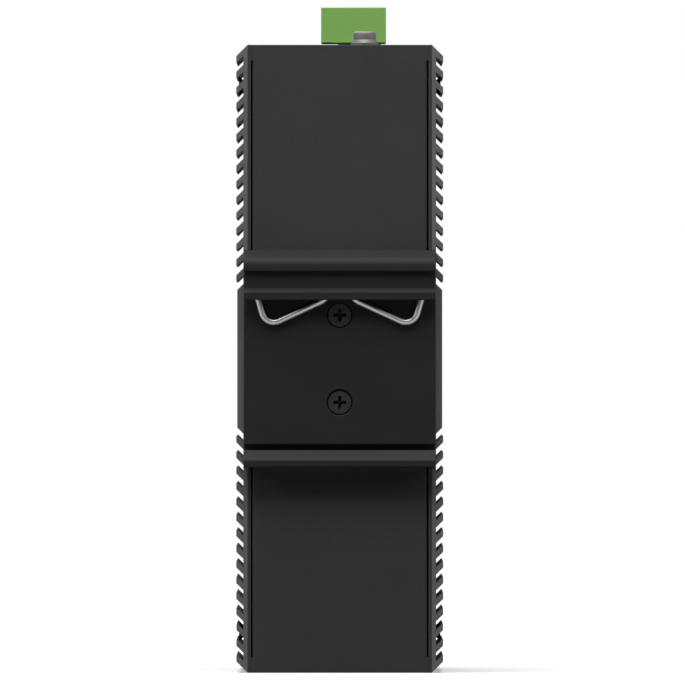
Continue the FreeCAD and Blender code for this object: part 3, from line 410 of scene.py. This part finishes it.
def ease_edges(node, radius_mm, reshape=None, cutter=None):
    """Stand in for a CAD node by its joined copy, with every edge over 30 degrees rounded by radius_mm."""
    mesh = frame["nodes"][node].data.copy()
    mesh.name = f"{node}_eased"
    if reshape:
        points = np.empty(len(mesh.vertices) * 3)
        mesh.vertices.foreach_get("co", points)
        mesh.vertices.foreach_set("co", reshape(points.reshape(-1, 3)).ravel())
    shell = bmesh.new()
    shell.from_mesh(mesh)
    bmesh.ops.remove_doubles(shell, verts=shell.verts, dist=join_within)
    bmesh.ops.dissolve_limit(shell, angle_limit=flat, verts=shell.verts, edges=shell.edges)
    shell.to_mesh(mesh)
    shell.free()

    piece = bpy.data.objects.new(f"{node}_eased", mesh)
    bpy.context.scene.collection.objects.link(piece)
    if cutter:
        cut_away(piece, cutter)
    piece.data.shade_smooth()
    piece.data.set_sharp_from_angle(angle=sharp)
    edge = piece.modifiers.new("eased_edges", "BEVEL")
    edge.width, edge.segments = radius_mm * millimetre, bevel_steps
    edge.limit_method, edge.angle_limit = "ANGLE", sharp
    flatten = piece.modifiers.new("flat_faces_stay_flat", "WEIGHTED_NORMAL")
    flatten.keep_sharp, flatten.weight = True, large_faces_first
    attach(piece, "root")
    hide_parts(node)
    return piece


edge_radius_mm = {
    "front_chassis": 0.12,
    "rear_wrap": 0.20,
    "heat_sink_left": 0.22,
    "heat_sink_right": 0.22,
    "rail_bracket": 0.22,
    "terminal_plug": 0.25,
    "terminal_header": 0.15,
    "bracket_screws": 0.05,
    "side_screws_left": 0.10,
    "side_screws_right": 0.10,
}
cutters = {"terminal_plug": neck_cutter}
for node, radius_mm in edge_radius_mm.items():
    ease_edges(node, radius_mm, reshaped.get(node), cutters.get(node))
    print(f"{node}: edges eased by {radius_mm} mm")

# %% [markdown]
# ## The spring wire
#
# The spring is one length of round wire, bent into a W in a flat plane. Its two loops hang below the
# bracket's lip and press on the rail; its middle and its ends sit inside the bracket. A straight-sided
# tube would show its facets in the highlights, so the wire is carried along a path: straight runs joined
# by arcs that touch both runs, with a fine circle at every step and a rounded end.


# %% Path of straight runs and arcs
def rounded_path(corners, radii, step=0.15):
    """Points along a flat line with its corners rounded.

    At each corner the arc starts r * tan(turn / 2) before it, ends as far after it, and its centre lies
    r / cos(turn / 2) from the corner along the line that halves the angle.
    """
    corners = np.array(corners, float)
    points = [corners[:1]]
    for before, here, after, radius in zip(corners, corners[1:], corners[2:], radii):
        back, ahead = before - here, after - here
        back, ahead = back / np.linalg.norm(back), ahead / np.linalg.norm(ahead)
        turn = math.pi - math.acos(float(back @ ahead))
        inward = (back + ahead) / np.linalg.norm(back + ahead)
        centre = here + inward * radius / math.cos(turn / 2)
        reach = radius * math.tan(turn / 2)
        to_first, to_last = (here + back * reach - centre) / radius, (here + ahead * reach - centre) / radius
        share = np.linspace(0, 1, max(6, int(turn * radius / step)))[:, None]
        swing = np.sin((1 - share) * turn) * to_first + np.sin(share * turn) * to_last
        points.append(centre + radius * swing / math.sin(turn))
    points.append(corners[-1:])
    return np.concatenate(points)


print("a right angle with a 1 mm bend takes", len(rounded_path([(0, 0), (3, 0), (3, 3)], [1.0])), "points")


# %% Round bar along a path
wire_around, dome_rings, dome_depth = 24, 5, 0.45


def round_bar(path, plane_y, radius):
    """Grid of circles: centre + radius * (cos a * normal + sin a * Y), where the normal is the tangent turned
    a quarter in the XZ plane. At each end the circles shrink as a quarter circle, which domes it."""
    tangent = np.gradient(path, axis=0)
    tangent /= np.linalg.norm(tangent, axis=1, keepdims=True)
    lean = np.linspace(0, math.pi / 2, dome_rings + 1)[1:, None]
    head = path[0] - tangent[0] * radius * dome_depth * np.sin(lean[::-1])
    tail = path[-1] + tangent[-1] * radius * dome_depth * np.sin(lean)
    centre = np.concatenate([head, path, tail])
    first, last = np.repeat(tangent[:1], dome_rings, 0), np.repeat(tangent[-1:], dome_rings, 0)
    direction = np.concatenate([first, tangent, last])
    width = np.concatenate([np.cos(lean[::-1]), np.ones((len(path), 1)), np.cos(lean)])[:, 0] * radius
    normal = np.stack([-direction[:, 1], direction[:, 0]], axis=1)
    angle = np.linspace(0, 2 * math.pi, wire_around, endpoint=False)
    x = centre[:, :1] + width[:, None] * np.cos(angle) * normal[:, :1]
    z = centre[:, 1:] + width[:, None] * np.cos(angle) * normal[:, 1:]
    y = plane_y + width[:, None] * np.sin(angle)
    return np.stack([x, y, z], axis=2)


def grid_mesh(name, grid):
    """A closed tube from a grid of rings: quads between neighbours, with doubled pole points joined."""
    rings, around = grid.shape[:2]
    index = np.arange(rings * around).reshape(rings, around)
    onward = np.roll(index, -1, 1)
    quads = np.stack([index[:-1], onward[:-1], onward[1:], index[1:]], axis=2)
    mesh = bpy.data.meshes.new(name)
    mesh.from_pydata(grid.reshape(-1, 3).tolist(), [], quads.reshape(-1, 4).tolist())
    shell = bmesh.new()
    shell.from_mesh(mesh)
    bmesh.ops.remove_doubles(shell, verts=shell.verts, dist=join_within)
    bmesh.ops.recalc_face_normals(shell, faces=shell.faces)
    shell.to_mesh(mesh)
    shell.free()
    mesh.shade_smooth()
    return mesh


print("each circle of the wire has", wire_around, "points")

# %% Bend the wire
# The bends are in mm: half the width, and the height above the edge of the bracket's lip.
wire_diameter_mm = 1.47
wire_plane_mm = 3.5
half_bends = [(2.36, 7.3), (2.36, 0.5), (16.42, -6.02), (20.12, 7.4)]
bend_radii = [2.7, 3.4, 1.2]
lip_mm = 37.36

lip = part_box("rail_bracket")[0].z / millimetre + lip_mm
right = [(x, lip + z) for x, z in half_bends]
left = [(-x, z) for x, z in reversed(right)]
wire_path = rounded_path(left + right, bend_radii + bend_radii[::-1])
plane = rear_face / millimetre + wire_plane_mm
wire_grid = round_bar(wire_path, plane, wire_diameter_mm / 2) * millimetre
spring_wire = bpy.data.objects.new("spring_wire", grid_mesh("spring_wire", wire_grid))
bpy.context.scene.collection.objects.link(spring_wire)
spring_wire.data.materials.append(finishes["spring_steel"])
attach(spring_wire, "root")
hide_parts("rail_spring_wire")
lowest = float(wire_grid[..., 2].min() / millimetre)
print("wire:", wire_grid.shape[0], "circles, lowest point", round(lowest, 2), "mm")

# %% [markdown]
# ## The ground screw
#
# The earth wire is held by a zinc-plated pan-head screw with a sprung washer and a flat one under it. The
# head is a turned shape: a straight side that rolls over into a nearly flat top. Such a shape is its
# half profile swept once round, and the driver's cross is then cut down into it.


# %% Turned shape and driver's cross
turned_around = 64


def turned(profile, centre):
    """Sweep (radius, height) pairs round a vertical axis: x = radius * cos a, y = radius * sin a."""
    profile = np.array(profile, float)
    angle = np.linspace(0, 2 * math.pi, turned_around, endpoint=False)
    x = centre[0] + profile[:, :1] * np.cos(angle)
    y = centre[1] + profile[:, :1] * np.sin(angle)
    z = np.repeat(profile[:, 1:], turned_around, axis=1)
    return np.stack([x, y, z], axis=2)


def cross_cutter(name, middle_point, span, arm, depth):
    """Two crossed bars, as one closed solid, that reach depth below their middle and as far above it."""
    far, near = span / 2, arm / 2
    outline = [(far, near), (near, near), (near, far), (-near, far), (-near, near), (-far, near)]
    outline += [(-x, -y) for x, y in outline]
    x, y, z = middle_point
    floor = [(x + across, y + along, z - depth) for across, along in outline]
    return extrusion(name, floor, (0, 0, 1), 2 * depth)


print("a turned shape has", turned_around, "points round its axis")

# %% Turn the ground screw and cut its cross
low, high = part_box("ground_screw")
screw_centre = (low + high) / 2
head_radius = (high.x - low.x) / 2
shank_radius = 1.5 * millimetre
head_height, straight_side = 1.8 * millimetre, 1.25 * millimetre
roll_share = 0.30
cross_span, cross_arm, cross_depth = 2.9 * millimetre, 0.7 * millimetre, 1.2 * millimetre

head_foot = high.z - head_height
lean = np.linspace(0, math.pi / 2, 10)
roll_radius = head_radius * (1 - roll_share * (1 - np.cos(lean)))
roll_height = head_foot + straight_side + (head_height - straight_side) * np.sin(lean)
shank = [(0, low.z), (shank_radius, low.z), (shank_radius, head_foot), (head_radius, head_foot)]
profile = [*shank, *zip(roll_radius, roll_height), (0, high.z)]
screw_mesh = grid_mesh("ground_screw_turned", turned(profile, screw_centre))
ground_screw = bpy.data.objects.new("ground_screw_turned", screw_mesh)
bpy.context.scene.collection.objects.link(ground_screw)
head_middle = (screw_centre.x, screw_centre.y, high.z)
cut_away(ground_screw, cross_cutter("driver_cross", head_middle, cross_span, cross_arm, cross_depth))
ground_screw.data.set_sharp_from_angle(angle=sharp)
ground_screw.data.materials.clear()
ground_screw.data.materials.append(finishes["zinc_steel"])
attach(ground_screw, "root")
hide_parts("ground_screw")
print("ground screw:", len(ground_screw.data.polygons), "faces")

# %% [markdown]
# ## The studio
#
# A product studio for dark metal is a strip overhead, large soft boxes high behind and in front, and a
# small one at each side, round a white paper sweep. The lamps are large, so their shadows are soft, and
# their strength is worked out from the brightness that their faces show. The overhead lamp is what draws
# the sloping faces of the black parts.


# %% Lamps
def soft_lamp(name, place, width, depth, level):
    """A rectangular lamp, turned to the case, whose face is level times as bright as white paper: its power
    is level * pi * area."""
    data = bpy.data.lights.new(name, "AREA")
    data.shape, data.size, data.size_y = "RECTANGLE", width, depth
    data.energy = level * math.pi * width * depth
    lamp = bpy.data.objects.new(name, data)
    bpy.context.scene.collection.objects.link(lamp)
    lamp.location = place
    lamp.rotation_euler = (lamp.location - case_middle).to_track_quat("Z", "Y").to_euler()
    print(f"{name}: {data.energy:.2f} W")


soft_lamp("overhead_strip", (0.0, 0.16, 1.10), 0.9, 0.26, 7.5)
soft_lamp("rear_high_softbox", (0.1, 0.64, 1.10), 0.9, 0.7, 6.2)
soft_lamp("rear_upper_left", (1.1, 0.6, 0.7), 0.5, 0.5, 4.5)
soft_lamp("rear_upper_right", (-1.1, 0.6, 0.7), 0.5, 0.5, 3.6)
soft_lamp("front_high_softbox", (0.3, -1.05, 0.90), 0.9, 0.8, 5.0)

# %% [markdown]
# ## A white surround
#
# The set has to look white, but a white world would also light the object from every side and flatten its
# form. A Light Path node tells which kind of ray is asking. Rays of the camera, of reflections and of clear
# plastics see white; rays that only gather light get almost nothing.


# %% Rays that see the set as white
def white_seeing_rays(tree):
    """Light path outputs, and one that is 1 for rays of the camera, of reflections and of clear plastics."""
    path = add_node(tree, "ShaderNodeLightPath").outputs
    seen = {0: path["Is Camera Ray"], 1: path["Is Glossy Ray"]}
    sees = add_node(tree, "ShaderNodeMath", seen, operation="MAXIMUM").outputs[0]
    sees = add_node(tree, "ShaderNodeMath", {0: sees, 1: path["Is Transmission Ray"]}, operation="MAXIMUM")
    return path, sees.outputs[0]


white = linear("#ffffff")
print("white is", white[:3], "in linear light")

# %% World
world_level = 0.04
world = bpy.data.worlds.new("studio_white")
bpy.context.scene.world = world
tree = empty_tree(world)
path, sees_white = white_seeing_rays(tree)
strength = add_node(tree, "ShaderNodeMapRange", {"Value": sees_white, "To Min": world_level, "To Max": 1.0})
sky = add_node(tree, "ShaderNodeBackground", {"Color": white, "Strength": strength.outputs[0]})
add_node(tree, "ShaderNodeOutputWorld", {"Surface": sky.outputs[0]})
print("world level", world_level)


# %% [markdown]
# ## Floor of white paper
#
# The object stands on a sweep of white paper. Near it the paper keeps its shadow; further out it turns into
# plain white. Light that the paper would throw back up on the object is held down, as black cloth just out
# of view does in a studio.


# %% Flat sheets of the set
def flat_board(name, corners, material):
    """A four-cornered sheet of the set, given by its corners."""
    mesh = bpy.data.meshes.new(name)
    mesh.from_pydata(corners, [], [(0, 1, 2, 3)])
    mesh.materials.append(material)
    board = bpy.data.objects.new(name, mesh)
    bpy.context.scene.collection.objects.link(board)
    return board


below_feet = 0.02 * millimetre
ground = cad_box[0].z - below_feet
print("the floor lies at", round(ground / millimetre, 2), "mm")

# %% Paper
floor_half = 6.0
near, far = 0.15, 0.9
near_lift, far_lift = 0.35, 1.0
paper_grey, bounce_grey = 0.60, 0.06

paper = bpy.data.materials.new("white_paper_sweep")
tree = empty_tree(paper)
path, sees_white = white_seeing_rays(tree)
place = add_node(tree, "ShaderNodeTexCoord").outputs["Object"]
away = add_node(tree, "ShaderNodeVectorMath", {0: place}, operation="LENGTH").outputs["Value"]
reach = {"Value": away, "From Min": near, "From Max": far, "To Min": near_lift, "To Max": far_lift}
lift = add_node(tree, "ShaderNodeMapRange", reach).outputs[0]
lift = add_node(tree, "ShaderNodeMath", {0: lift, 1: sees_white}, operation="MULTIPLY").outputs[0]
glow = add_node(tree, "ShaderNodeEmission", {"Color": white, "Strength": lift}).outputs[0]
grey = {"Value": path["Is Diffuse Ray"], "To Min": paper_grey, "To Max": bounce_grey}
grey = add_node(tree, "ShaderNodeMapRange", grey).outputs[0]
matt = add_node(tree, "ShaderNodeBsdfDiffuse", {"Color": grey}).outputs[0]
both = add_node(tree, "ShaderNodeAddShader", {0: matt, 1: glow}).outputs[0]
add_node(tree, "ShaderNodeOutputMaterial", {"Surface": both})
square = [(-1, -1), (1, -1), (1, 1), (-1, 1)]
flat_board("floor", [(x * floor_half, y * floor_half, ground) for x, y in square], paper)
print("floor", 2 * floor_half, "m square")

# %% [markdown]
# ## Black flags
#
# Bright metal looks like metal only when it has something dark to show. Two boards of black velvet stand
# beyond the lamps, one behind the object and one in front. The camera itself doesn't see them.

# %% Two flags
flag_away, flag_half = 1.8, 1.7
rear_flag_top, front_flag_top = 2.4, 1.2

velvet = bpy.data.materials.new("black_velvet")
tree = empty_tree(velvet)
nap = add_node(tree, "ShaderNodeBsdfDiffuse", {"Color": linear("#0c0c0c")}).outputs[0]
add_node(tree, "ShaderNodeOutputMaterial", {"Surface": nap})
for name, y, top in (("rear_flag", flag_away, rear_flag_top), ("front_flag", -flag_away, front_flag_top)):
    corners = [(-flag_half, y, ground), (flag_half, y, ground), (flag_half, y, top), (-flag_half, y, top)]
    flat_board(name, corners, velvet).visible_camera = False
bpy.context.scene.view_settings.view_transform = "Standard"
print("flags", 2 * flag_half, "m wide")

# %% [markdown]
# ## Finish
#
# The last line brings the scene's view layer up to date.

# %% Update the view layer
bpy.context.view_layer.update()
